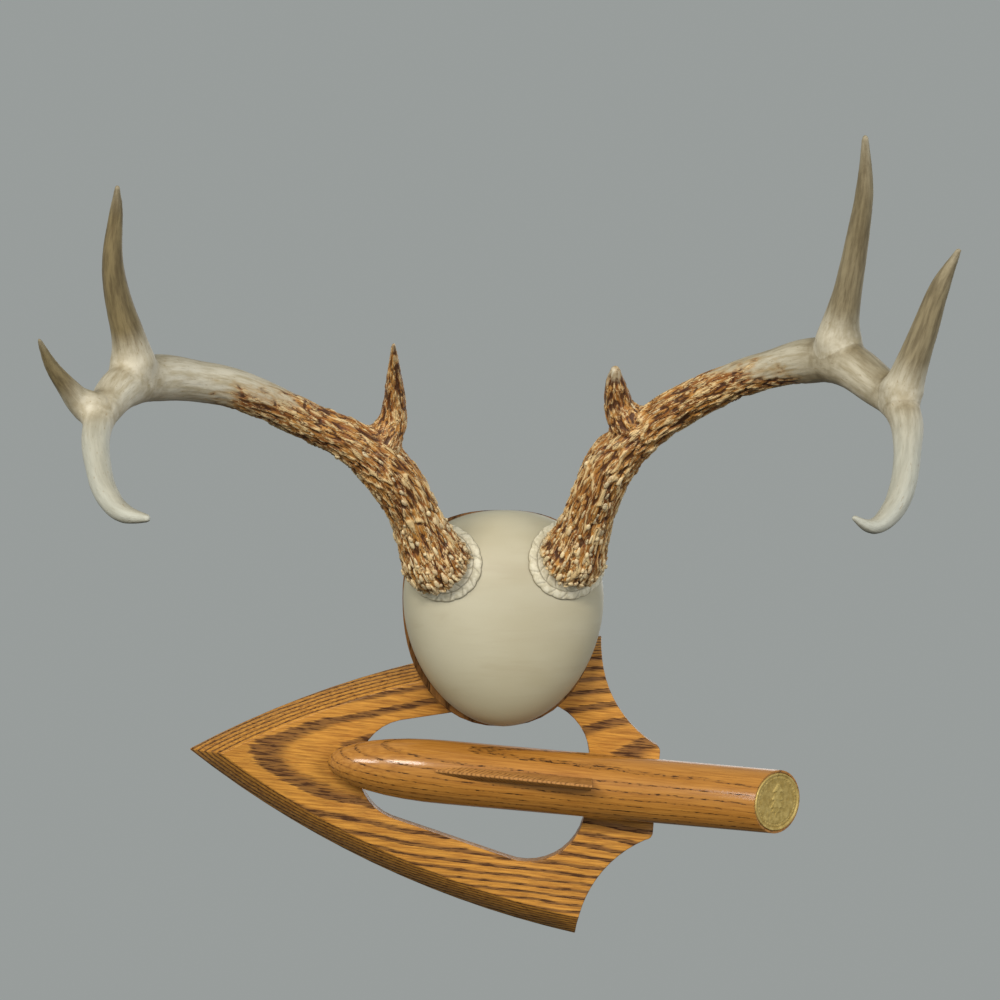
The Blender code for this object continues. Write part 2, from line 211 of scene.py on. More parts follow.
# how the dark early part of a ring starts and ends, how long its dashes are, and how strong they show
boardBand = {
    "jag": 0.36, "rise": 0.08, "start": 0.3, "end": 0.52,
    "dash": 0.13, "stray": 0.3, "tint": 0.74, "pore": 0.62,
}

# short dark dashes in narrow rows
dowelBand = {
    "jag": 0.1, "rise": 0.05, "start": 0.15, "end": 0.28,
    "dash": 0.3, "stray": 0.04, "tint": 0.42, "pore": 0.95,
}

# slanted light and dark flecks
fleckBand = {
    "jag": 1.0, "rise": 0.15, "start": 0.25, "end": 0.55,
    "dash": 0.2, "stray": 0.1, "tint": 0.5, "pore": 0.35,
}


def arrowPlace(finish):
    # along the arrow, out of the wall and across it, in mm from the point
    tip = boardTip()
    dip = arrowDip()
    cosDip, sinDip = math.cos(dip), math.sin(dip)
    x, z = tip[0] / mm, tip[2] / mm
    shift = (-(x * cosDip - z * sinDip), 0.0, -(x * sinDip + z * cosDip))
    return finish.place(shift, (0.0, -dip, 0.0))


def boardTip():
    points = readPoints(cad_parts["blade_plaque"].data)
    return points[np.argmin(points[:, 0])]


def arrowDip():
    # the fall of the shaft from left to right
    points = readPoints(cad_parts["third_blade"].data)
    middle = points - points.mean(0)
    main = np.linalg.svd(middle, full_matrices=False)[2][0]
    return abs(math.atan2(main[2], main[0])) if main[0] > 0 else abs(math.atan2(-main[2], -main[0]))


def oakLayers(finish, spot, rings, tones, band):
    # colour, height and pores of oak with rings counted by the given value
    light, warm, dark, pore = tones
    fibre = finish.fibres(spot, (0.045, 1.1, 1.1), 4.0, 0.65)
    drift = finish.fibres(spot, (0.012, 0.05, 0.05), 2.0)
    phase = (rings + (fibre - 0.5) * band["jag"] + (drift - 0.5) * 0.5).fract()
    early = phase.step(0.0, band["rise"]) * phase.step(band["end"], band["start"])
    streaks = finish.fibres(spot, (band["dash"], 1.6, 1.6), 2.0, 0.5)
    pores = streaks.step(0.52, 0.6) * (early * 0.92 + band["stray"])
    body = finish.colour(fibre.step(0.3, 0.84), light, warm)
    body = finish.colour(phase.step(0.6, 1.0) * 0.2, body, warm)
    body = finish.colour(early * (band["tint"] + (streaks - 0.5) * 0.8), body, dark)
    body = finish.colour(pores * band["pore"], body, pore)
    height = fibre * 0.25 - pores
    return body, height, pores


def oakSurface(finish, layers, rough, coat, worn, depth=0.00015, strength=0.5):
    # the coat is thinner by worn in the pores
    body, height, pores = layers
    return finish.surface(
        Base_Color=body,
        Roughness=rough + pores * 0.3,
        Coat_Weight=coat - pores * worn,
        Normal=finish.bump(height, depth, strength),
    )


def boardOak():
    finish = Finish("boardOak", Coat_Roughness=0.22, Specular_IOR_Level=0.08)
    spot = arrowPlace(finish)
    along, out, up = finish.split(spot)
    warp = finish.fibres(spot, (0.02, 0.03, 0.03), 2.0)
    across = up - 0.5 - (along - oakGrain["archFoot"]) * oakGrain["archSlope"] + (warp - 0.5) * 6.0
    face = along - across * across / oakGrain["archSpread"] + (warp - 0.5) * 14.0
    deep = (out + oakGrain["board"]) * (oakGrain["ringStep"] / oakGrain["ringDepth"])
    rings = (face - deep - oakGrain["firstRing"]) / oakGrain["ringStep"]
    tones = [oakGrain[key] for key in ("light", "warm", "dark", "pore")]
    layers = oakLayers(finish, spot, rings, tones, boardBand)
    return oakSurface(finish, layers, 0.4, 0.25, 0.2, 0.00018, 0.6)


def shaftOak():
    finish = Finish("shaftOak", Coat_Roughness=0.12, Specular_IOR_Level=0.2)
    spot = arrowPlace(finish)
    along, out, up = finish.split(spot)
    warp = finish.fibres(spot, (0.008, 0.03, 0.03), 2.0)
    rings = (up * 0.8 - out * 0.5 + along * 0.02 + (warp - 0.5) * 5.0) / 3.4
    tones = ("#C3873A", "#985F21", "#704215", "#2E1705")
    layers = oakLayers(finish, spot, rings, tones, dowelBand)
    return oakSurface(finish, layers, 0.34, 0.6, 0.4)


def bladeOak():
    finish = Finish("bladeOak", Coat_Roughness=0.25, Specular_IOR_Level=0.08)
    spot = arrowPlace(finish)
    turn = (0.0, 0.0, oakGrain["fleckTurn"])
    slanted = finish.node("Mapping", {}, {"Vector": spot, "Rotation": turn})
    out, up = finish.split(slanted)[1:]
    rings = out / 1.5 + up * 0.03
    tones = ("#CC9352", "#A06C36", "#5C3817", "#301806")
    layers = oakLayers(finish, slanted, rings, tones, fleckBand)
    return oakSurface(finish, layers, 0.42, 0.25, 0.2)


def backerOak():
    finish = Finish("backerOak", Coat_Roughness=0.3, Specular_IOR_Level=0.08)
    spot = finish.place(turn=(0, math.radians(90.0), 0))
    out, up = finish.split(spot)[1:]
    warp = finish.fibres(spot, (0.02, 0.05, 0.05), 2.0)
    rings = (out + up * 0.22 + (warp - 0.5) * 8.0) / 3.2
    tones = ("#8C6030", "#6E4820", "#533315", "#2E1C0A")
    layers = oakLayers(finish, spot, rings, tones, boardBand)
    return oakSurface(finish, layers, 0.45, 0.2, 0.15)


def capCream():
    finish = Finish("capCream", Specular_IOR_Level=0.4, Coat_Roughness=0.35, Coat_Weight=0.15)
    spot = finish.place()
    broad = finish.fibres(spot, (0.012, 0.02, 0.03), 3.0)
    streak = finish.fibres(spot, (0.02, 0.06, 0.16), 3.0, 0.6, 0.4)
    fine = finish.cloud(spot, 1.3, 3.0)
    up = finish.split(spot)[2]
    body = finish.colour(broad.step(0.35, 0.7), "#C3BCA2", "#B8AF92")
    body = finish.colour(streak.step(0.5, 0.75) * 0.45, body, "#B3A88C")
    # painted shade: the cover darkens towards its bottom, as if the light falls from above
    body = finish.colour(up.step(24.0, -24.0) * 0.5, body, "#A89971")
    body = finish.colour(fine.step(0.62, 0.75) * 0.12, body, "#A8946C")
    return finish.surface(
        Base_Color=body,
        Roughness=0.42 + streak * 0.14,
        Normal=finish.bump(streak * 0.8 + fine * 0.2, 0.0003, 0.35),
    )


def collarSkin():
    finish = Finish("collarSkin", Specular_IOR_Level=0.4)
    spot = finish.place()
    seam = finish.attribute("seam")
    cloudy = finish.cloud(spot, 0.5, 3.0)
    fine = finish.cloud(spot, 3.0, 2.0)
    body = finish.colour(cloudy.step(0.4, 0.62), "#E8E0C6", "#D4CBAE")
    body = finish.colour(fine.step(0.5, 0.7) * 0.35, body, "#CFC6AB")
    body = finish.colour(seam * (0.35 + fine * 0.85), body, "#66593D")
    return finish.surface(
        Base_Color=body,
        Roughness=0.5 + seam * 0.2,
        Normal=finish.bump(fine + cloudy * 0.6, 0.0002, 0.5),
    )


def skullBone():
    finish = Finish("skullBone", Specular_IOR_Level=0.4)
    spot = finish.place()
    broad = finish.cloud(spot, 0.08, 3.0)
    pits = finish.cloud(spot, 1.4, 3.0)
    body = finish.colour(broad.step(0.35, 0.7), "#DCCFAF", "#C2AC80")
    body = finish.colour(pits.step(0.6, 0.72) * 0.6, body, "#8E7247")
    return finish.surface(
        Base_Color=body,
        Roughness=0.55 + pits * 0.2,
        Normal=finish.bump(pits, 0.0004, 0.5),
    )


def medallionBrass():
    finish = Finish("medallionBrass", Specular_IOR_Level=0.5)
    spot = finish.place()
    low = finish.attribute("hollow")
    cloudy = finish.cloud(spot, 0.35, 4.0)
    specks = finish.cloud(spot, 2.6, 2.0)
    body = finish.colour(cloudy.step(0.35, 0.65), "#E4C778", "#C6A85B")
    body = finish.colour(low * 0.4, body, "#94793A")
    body = finish.colour(specks.step(0.6, 0.7) * 0.3, body, "#5F4E26")
    return finish.surface(
        Base_Color=body,
        Metallic=0.35 - low * 0.15,
        Roughness=0.4 + cloudy * 0.12 + low * 0.2,
        Normal=finish.bump(specks + cloudy, 0.00012, 0.5),
    )


def antlerBone():
    # stain is the brown of the base, tone the grey of the upper tines and painted shade on the beam's top
    # and bottom edges, relief the ridges and cracks, web the forks and polish the tips
    finish = Finish("antlerBone", Specular_IOR_Level=0.4, Coat_Roughness=0.3, Coat_Weight=0.1)
    spot = finish.place()
    grain = finish.attribute("grain", 1)
    stain, tone = finish.attribute("stain"), finish.attribute("tone")
    relief, pearl = finish.attribute("relief"), finish.attribute("pearl")
    web, polish = finish.attribute("web"), finish.attribute("polish")
    patch = finish.fibres(grain, (0.055, 0.13, 0.13), 4.0, 0.6, 0.6)
    wisp = finish.fibres(grain, (0.05, 0.4, 0.4), 4.0, 0.6)
    soft = finish.cloud(spot, 0.16, 4.0, 0.6)
    streak = wisp + (soft - wisp) * web
    hair = finish.fibres(grain, (0.12, 1.8, 1.8), 3.0, 0.6)
    speck = finish.cloud(spot, 1.5, 2.0)
    fleck = finish.fibres(grain, (0.3, 1.1, 1.1), 2.0)
    pale = finish.colour(streak.step(0.34, 0.68), "#DCD5C0", "#BDB193")
    pale = finish.colour(polish * 0.75, pale, "#B5B8AD")
    pale = finish.colour(hair.step(0.55, 0.72) * 0.3 * (1.0 - web), pale, "#8D8061")
    pale = finish.colour(fleck.step(0.66, 0.72) * 0.5, pale, "#8A6B3C")
    olive = finish.colour(streak.step(0.34, 0.68), "#8D7D58", "#65573B")
    olive = finish.colour(hair.step(0.52, 0.72) * 0.4, olive, "#57492F")
    clean = finish.colour(tone, pale, olive)
    vein = abs(finish.fibres(grain, (0.08, 0.55, 0.55), 2.0, 0.5, 0.8) - 0.5)
    thread = abs(finish.fibres(grain, (0.1, 0.7, 0.7), 2.0, 0.5, 0.6) - 0.47)
    brown = finish.colour(streak.step(0.35, 0.65), "#C48B42", "#8C531F")
    brown = finish.colour(thread.step(0.04, 0.0) * 0.85, brown, "#F2D89F")
    # cream on the ridges and near-black in the cracks: partly the antler's own rubbed ridges and stained
    # cracks, partly a painted highlight on the ridges and painted shade in the cracks
    brown = finish.colour(relief.step(0.2, 0.7) * 0.85, brown, "#EFD097")
    brown = finish.colour(vein.step(0.04, 0.0) * 0.9, brown, "#482308")
    brown = finish.colour(relief.step(-0.15, -0.6) * 0.9, brown, "#46220A")
    amount = stain * 1.4 + (patch - 0.5) * 1.3 + (streak - 0.5) * 0.8 - relief * 0.12
    covered = (amount - 0.5).step(0.0, 0.45)
    fringe = (amount - 0.28).step(0.0, 0.4)
    body = finish.colour(fringe * 0.45, clean, "#B08F58")
    body = finish.colour(covered, body, brown)
    body = finish.colour(pearl * (0.5 + covered * 0.4) * speck.step(0.85, 0.3), body, "#EBD8AC")
    height = hair * 0.5 + streak * 0.7 + speck * 0.3
    height = height + (thread.step(0.06, 0.0) - vein.step(0.06, 0.0)) * covered
    return finish.surface(
        Base_Color=body,
        Roughness=0.48 + hair * 0.2 - pearl * 0.06,
        Normal=finish.bump(height, 0.0004, 0.45),
    )


def newMesh(name, points, faces):
    mesh = bpy.data.meshes.new(name)
    mesh.from_pydata([tuple(p) for p in points], [], [tuple(f) for f in faces])
    return mesh


def placed(name, data):
    # a new object in the scene
    thing = bpy.data.objects.new(name, data)
    bpy.context.scene.collection.objects.link(thing)
    return thing


def faceOut(mesh):
    shape = bmesh.new()
    shape.from_mesh(mesh)
    bmesh.ops.recalc_face_normals(shape, faces=shape.faces)
    shape.to_mesh(mesh)
    shape.free()


def newPiece(name, mesh, material, nodes, recalculate=True):
    # a finished piece at the origin, in place of the nodes that it stands for
    if recalculate:
        faceOut(mesh)
    mesh.materials.clear()
    mesh.materials.append(material)
    piece = placed(name, mesh)
    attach(piece, "root")
    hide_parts(*nodes)
    return piece


def plainMesh(thing):
    # the object's mesh with its modifiers applied, and no modifier left
    bpy.context.view_layer.update()
    graph = bpy.context.evaluated_depsgraph_get()
    mesh = bpy.data.meshes.new_from_object(thing.evaluated_get(graph))
    thing.modifiers.clear()
    return mesh


def mergedShape(node):
    shape = bmesh.new()
    shape.from_mesh(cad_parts[node].data)
    bmesh.ops.remove_doubles(shape, verts=shape.verts, dist=0.01 * mm)
    return shape


def easedCopy(name, node, material, width, turns=2, angle=35.0):
    # the node's own shape with its sharp edges eased and its round faces shaded smooth
    shape = mergedShape(node)
    flat = math.radians(0.3)
    bmesh.ops.dissolve_limit(shape, angle_limit=flat, verts=shape.verts, edges=shape.edges)
    mesh = bpy.data.meshes.new(name)
    shape.to_mesh(mesh)
    shape.free()
    mesh.shade_smooth()
    helper = placed(name + "Shape", mesh)
    ease = helper.modifiers.new("ease", "BEVEL")
    ease.width = width
    ease.segments = turns
    ease.limit_method = "ANGLE"
    ease.angle_limit = math.radians(angle)
    ease.use_clamp_overlap = True
    ease.harden_normals = True
    result = plainMesh(helper)
    bpy.data.objects.remove(helper)
    return newPiece(name, result, material, [node], recalculate=False)


antlerShape = {
    "tipReach": 9.0 * mm,
    "step": 1.0 * mm,
    "sides": 30,
    "voxel": 0.72 * mm,
    "smoothRounds": 5,
    "forkRounds": 40,
    "forkReach": 6.5 * mm,
    "flare": 3.0 * mm,
    "flareReach": 6.0 * mm,
    "ridge": 0.85 * mm,
    "fine": 0.3 * mm,
    "swell": 0.5 * mm,
    "burrLumps": 1.5 * mm,
    "settle": 0.5 * mm,
    "burrSettle": 0.8 * mm,
    "burrReach": 11.0 * mm,
    "burrShift": {"left": (3.2 * mm, 1.7 * mm, -2.8 * mm), "right": (-2.2 * mm, 1.7 * mm, -0.3 * mm)},
    "burrWiden": 0.5 * mm,
    "burrRun": (5.0, 9.5),  # full and gone, in mm along the beam
    "stain": {"left": (78.0, 212.0), "right": (88.0, 238.0)},  # full and gone, in mm along the beam
    "age": {"left": 0.0, "right": 0.28},  # how tan the beam is round its forks
    "ageStart": (0.4, 0.6),  # as shares of the beam
    "ageEnd": (0.72, 0.84),
    "polishRun": (0.7, 0.85),
    "tineRun": (1.0, 20.0),  # where a tine turns grey, in mm from the beam
    "tineTone": {"left": 1.0, "right": 0.85},
    "neckRadius": 12.9 * mm,
    "neckDepth": 5.0 * mm,
    "neckTop": 8.0 * mm,
    "pearlRun": (60.0, 130.0),
    "pearlPatch": 7.0 * mm,
}

# cracks, crests, lumps and swells: their size along and across the grain, in mm, and where they start
antlerNoise = (
    ((11.0, 2.6, 2.6), 0.0),
    ((13.0, 2.9, 2.9), 5.0),
    ((3.2, 1.9, 1.9), 9.0),
    ((26.0, 9.0, 9.0), 13.0),
)

pearlLayers = {
    "pearls": {"spacing": 2.6 * mm, "low": (0.9, 0.5, 0.4), "high": (3.4, 1.35, 1.05), "seed": 3},
    "burrBeads": {"spacing": 2.3 * mm, "low": (1.0, 0.6, 0.5), "high": (3.0, 1.5, 1.35), "seed": 11},
}


def tipRing(shape, tip):
    # the corners of the flat cap at the tip
    reach = antlerShape["tipReach"]
    faces = [face for face in shape.faces if (face.calc_center_median() - Vector(tip)).length < reach]
    alike = [[other for other in faces if face.normal.dot(other.normal) > 0.9999] for face in faces]
    return {v.index for face in max(alike, key=len) for v in face.verts}


def traceRings(node, pickTip):
    # ring centres and radii of a branch, from where its last whole ring is to its tip
    shape = mergedShape(node)
    shape.normal_update()
    points = np.array([v.co for v in shape.verts])
    near = [[edge.other_vert(v).index for edge in v.link_edges] for v in shape.verts]
    layer = tipRing(shape, points[pickTip(points)])
    shape.free()
    seen, centres, radii = set(), [], []
    while len(layer) == ringSides:
        ring = points[list(layer)]
        centres.append(ring.mean(0))
        radii.append(np.linalg.norm(ring - ring.mean(0), axis=1).mean())
        seen |= layer
        layer = {other for i in layer for other in near[i]} - seen
    return np.array(centres[::-1]), np.array(radii[::-1])


def evenly(centres, radii, step):
    # the same branch with a sample every step, its kinks eased
    lengths = np.concatenate([[0.0], np.cumsum(np.linalg.norm(np.diff(centres, axis=0), axis=1))])
    count = max(int(lengths[-1] / step), 8)
    at = np.linspace(0.0, lengths[-1], count)
    columns = [np.interp(at, lengths, column) for column in (*centres.T, radii)]
    eased = []
    for column in columns:
        before, after = 2 * column[0] - column[4:0:-1], 2 * column[-1] - column[-2:-6:-1]
        padded = np.concatenate([before, column, after])
        eased.append(np.convolve(padded, np.ones(9) / 9, "valid"))
    return np.stack(eased[:3], 1), eased[3], at


def framesAlong(centres):
    # heading and two square directions at each sample, carried along without twist
    ahead = np.gradient(centres, axis=0)
    ahead /= np.linalg.norm(ahead, axis=1)[:, None]
    side = np.cross(ahead[0], (0.3, 0.1, 1.0))
    sides = []
    for t in ahead:
        side = side - t * (side @ t)
        side = side / np.linalg.norm(side)
        sides.append(side)
    sides = np.array(sides)
    return ahead, sides, np.cross(ahead, sides)


def makeBranch(centres, radii, shift=(0.0, 0.0, 0.0), widen=0.0):
    # the shift and the widening are for the burr, and fade within a few mm
    centres, radii, at = evenly(centres, radii, antlerShape["step"])
    near = np.exp(-(at / antlerShape["burrReach"]) ** 2)
    centres = centres + near[:, None] * shift
    radii = radii + near * widen
    ahead, side, over = framesAlong(centres)
    return {"centres": centres, "radii": radii, "at": at, "ahead": ahead, "side": side, "over": over}


def distanceTo(branch, points):
    gaps = np.linalg.norm(points[:, None] - branch["centres"][None], axis=2)
    nearest = gaps.argmin(1)
    return gaps[np.arange(len(points)), nearest], nearest


def readAntler(side):
    # the beam and tines of one antler, each from its foot to its tip
    centres, radii = traceRings(side + "_beam", lambda points: points[:, 1].argmin())
    beam = makeBranch(centres, radii, antlerShape["burrShift"][side], antlerShape["burrWiden"])
    branches = [beam]

    def farthest(points):
        return distanceTo(beam, points)[0].argmax()

    for kind in ("brow_tine", "second_tine", "third_tine"):
        centres, radii = traceRings(side + "_" + kind, farthest)
        root = beam["centres"][distanceTo(beam, centres[:1] - (centres[1:2] - centres[:1]))[1][0]]
        centres = np.concatenate([[root, (root + centres[0]) / 2], centres])
        radii = np.concatenate([[radii[0] * 0.85, radii[0]], radii])
        tine = makeBranch(centres, radii)
        gap, nearest = distanceTo(beam, tine["centres"])
        clear = np.maximum(gap - beam["radii"][nearest], 0.0)
        tine["clear"] = clear
        tine["radii"] = tine["radii"] + antlerShape["flare"] * np.exp(-clear / antlerShape["flareReach"])
        branches.append(tine)
    return branches


def tubeMesh(branches):
    points, faces = [], []
    turns = np.linspace(0.0, math.tau, antlerShape["sides"], endpoint=False)
    for branch in branches:
        rows = list(zip(branch["centres"], branch["radii"], branch["side"], branch["over"]))
        c, r, s, o = rows[-1]
        for lift in (0.35, 0.65, 0.85, 0.97):
            rows.append((c + branch["ahead"][-1] * r * lift, r * math.sqrt(1 - lift * lift), s, o))
        start = len(points)
        for c, r, s, o in rows:
            points.extend(c + r * (np.cos(turns)[:, None] * s + np.sin(turns)[:, None] * o))
        sides = antlerShape["sides"]
        for i in range(len(rows) - 1):
            for j in range(sides):
                a, b = start + i * sides + j, start + i * sides + (j + 1) % sides
                faces.append((a, b, b + sides, a + sides))
        faces.append(tuple(range(start, start + sides))[::-1])
        faces.append(tuple(range(len(points) - sides, len(points))))
    return newMesh("tubes", points, faces)


def remeshed(mesh, voxel):
    faceOut(mesh)
    helper = placed("remeshHelper", mesh)
    modifier = helper.modifiers.new("voxels", "REMESH")
    modifier.mode = "VOXEL"
    modifier.voxel_size = voxel
    result = plainMesh(helper)
    bpy.data.objects.remove(helper)
    return result


def readPoints(mesh):
    points = np.empty(len(mesh.vertices) * 3)
    mesh.vertices.foreach_get("co", points)
    return points.reshape(-1, 3)


def smoothed(mesh, points, weight, rounds):
    # each point moves towards its neighbours' middle, by its weight, once a round
    ends = np.empty(len(mesh.edges) * 2, np.int32)
    mesh.edges.foreach_get("vertices", ends)
    first, second = ends.reshape(-1, 2).T
    count = np.bincount(first, minlength=len(points)) + np.bincount(second, minlength=len(points))
    for _ in range(rounds):
        total = np.zeros_like(points)
        for k in range(3):
            total[:, k] = np.bincount(first, points[second, k], len(points))
            total[:, k] += np.bincount(second, points[first, k], len(points))
        points = points + (total / count[:, None] - points) * weight[:, None]
    return points


def readNormals(mesh):
    normals = np.empty(len(mesh.vertices) * 3, np.float32)
    mesh.vertex_normals.foreach_get("vector", normals)
    return normals.reshape(-1, 3).astype(float)


def noiseAt(places):
    return np.array([noise.noise(Vector(p)) for p in places])


def writeNumbers(mesh, name, values, kind="FLOAT"):
    layer = mesh.attributes.new(name, kind, "POINT")
    field = "value" if kind == "FLOAT" else "vector"
    layer.data.foreach_set(field, np.asarray(values, np.float32).ravel())


def locate(branches, points):
    # for each point its branch, the sample on it, and how near the next branch is
    gaps, samples = [], []
    for branch in branches:
        gap, nearest = distanceTo(branch, points)
        gaps.append(gap - branch["radii"][nearest])
        samples.append(nearest)
    gaps, samples = np.array(gaps), np.array(samples)
    order = np.sort(gaps, axis=0)
    best = gaps.argmin(0)
    return best, samples[best, np.arange(len(points))], order[1] - order[0]


def inSlices(function, branches, points, size=8000):
    parts = [function(branches, points[i:i + size]) for i in range(0, len(points), size)]
    return [np.concatenate(column) for column in zip(*parts)]


def movePoints(mesh, points):
    mesh.vertices.foreach_set("co", points.astype(np.float32).ravel())
    mesh.update()


def readPlaces(branches, points, best, sample):
    # for each point: how far it is along, across and over its branch, in mm, its share of the way
    # to the tip, how far its part of a tine is clear of the beam, in mm, and where the branch heads
    along, across, over, share, clear = (np.zeros(len(points)) for _ in range(5))
    heading = np.zeros((len(points), 3))
    for index, branch in enumerate(branches):
        mine = best == index
        chosen = sample[mine]
        away = points[mine] - branch["centres"][chosen]
        along[mine] = branch["at"][chosen] / mm + (away * branch["ahead"][chosen]).sum(1) / mm
        across[mine] = (away * branch["side"][chosen]).sum(1) / mm
        over[mine] = (away * branch["over"][chosen]).sum(1) / mm
        heading[mine] = branch["ahead"][chosen]
        share[mine] = branch["at"][chosen] / branch["at"][-1]
        if index:
            clear[mine] = branch["clear"][chosen] / mm
    return along, across, over, share, clear, heading


def tintAntler(side, best, along, share, clear, fork, normals):
    # the brown stain of the lower beam and brow tine, the grey tone of the upper tines, and painted shade
    # on the beam's top and bottom edges
    stain = np.where(best == 0, 1 - smoothStep(*antlerShape["stain"][side], along), 0.0)
    stain = stain - 1.3 * stain * (1 - stain) * normals[:, 2]
    stain = np.where(best == 1, 1.0 - 0.55 * smoothStep(0.7, 1.0, share), stain)
    # painted shade: the last term turns the beam olive where its surface faces up or down, along its top
    # and bottom edges
    beamToneAndEdgeShade = 0.05 + 0.2 * np.clip(stain, 0, 1) + 0.4 * smoothStep(0.3, 1.0, np.abs(normals[:, 2]))
    aged = smoothStep(*antlerShape["ageStart"], share) * (1 - smoothStep(*antlerShape["ageEnd"], share))
    beamToneAndEdgeShade = beamToneAndEdgeShade + antlerShape["age"][side] * aged
    tineTone = smoothStep(*antlerShape["tineRun"], clear) * (1 - 0.25 * smoothStep(0.85, 1.0, share))
    tineTone = tineTone * antlerShape["tineTone"][side]
    tone = np.minimum(beamToneAndEdgeShade + 0.25 * fork, 1.0)
    return stain, np.where(best >= 2, tone + (1 - tone) * tineTone, tone)


def spreadPearls(points, best, along, share):
    # how thickly the pearls lie: most near the burr, and in patches
    crowd = 0.16 + 0.55 * (1 - smoothStep(10.0, 65.0, along))
    crowd = crowd * (1 - smoothStep(*antlerShape["pearlRun"], along)) * smoothStep(4.0, 9.0, along)
    crowd = np.where(best == 0, crowd, 0.0)
    crowd = np.where(best == 1, 0.1 * (1 - smoothStep(0.3, 0.6, share)), crowd)
    return crowd * smoothStep(-0.35, 0.25, noiseAt(points / antlerShape["pearlPatch"]))


def carveAntler(mesh, branches, side, seed):
    # moves the surface by its ridges, swells and burr lumps, and writes what the finish reads
    points = readPoints(mesh)
    best, sample, spare = inSlices(locate, branches, points)
    fork = np.exp(-(spare / antlerShape["forkReach"]) ** 2)
    points = smoothed(mesh, points, np.full(len(points), 0.5), antlerShape["smoothRounds"])
    points = smoothed(mesh, points, 0.6 * fork, antlerShape["forkRounds"])
    movePoints(mesh, points)
    normals = readNormals(mesh)
    along, across, over, share, clear, heading = readPlaces(branches, points, best, sample)
    stain, tone = tintAntler(side, best, along, share, clear, fork, normals)
    isBeam, isBrow, isUpper = best == 0, best == 1, best >= 2
    grain = np.stack([along + 37.0 * best + seed * 61.0, across, over], 1)
    crackLine, crestLine, lumps, broad = (noiseAt(grain / size + start) for size, start in antlerNoise)
    crest = 1 - smoothStep(0.0, 0.3, np.abs(crestLine))
    crack = 1 - smoothStep(0.0, 0.24, np.abs(crackLine))
    ridges = crest - crack
    rough = np.clip(stain, 0.0, 1.0) ** 1.7 * np.where(isBrow, 0.8 - 0.55 * share, 1.0)
    rough = np.maximum(rough, np.where(isUpper, 0.05, 0.1))
    burr = np.where(isBeam, 1 - smoothStep(*antlerShape["burrRun"], along), 0.0)
    height = rough * (antlerShape["ridge"] * ridges + antlerShape["fine"] * lumps)
    height += antlerShape["swell"] * broad * (0.25 + 0.75 * rough)
    height += burr * antlerShape["burrLumps"] * (lumps + 0.35 * crackLine)
    height -= antlerShape["settle"] * np.where(isBeam, rough, 0.0) + antlerShape["burrSettle"] * burr
    points = points + normals * height[:, None]
    movePoints(mesh, points)
    relief = 0.85 * ridges + 0.4 * lumps + 0.4 * burr * lumps - 0.25 * isBrow
    polish = smoothStep(*antlerShape["polishRun"], share) * (1 - fork)
    numbers = {
        "stain": stain,
        "tone": tone,
        "relief": np.clip(relief, -1, 1),
        "polish": np.where(isBeam, polish, 0.0),
        "web": fork,
        "pearl": np.zeros(len(points)),
        "pearls": spreadPearls(points, best, along, share),
        "burrBeads": 0.7 * burr * smoothStep(-3.0, 0.0, along),
    }
    for name, values in numbers.items():
        writeNumbers(mesh, name, values)
    writeNumbers(mesh, "grain", grain, "FLOAT_VECTOR")
    writeNumbers(mesh, "heading", heading, "FLOAT_VECTOR")


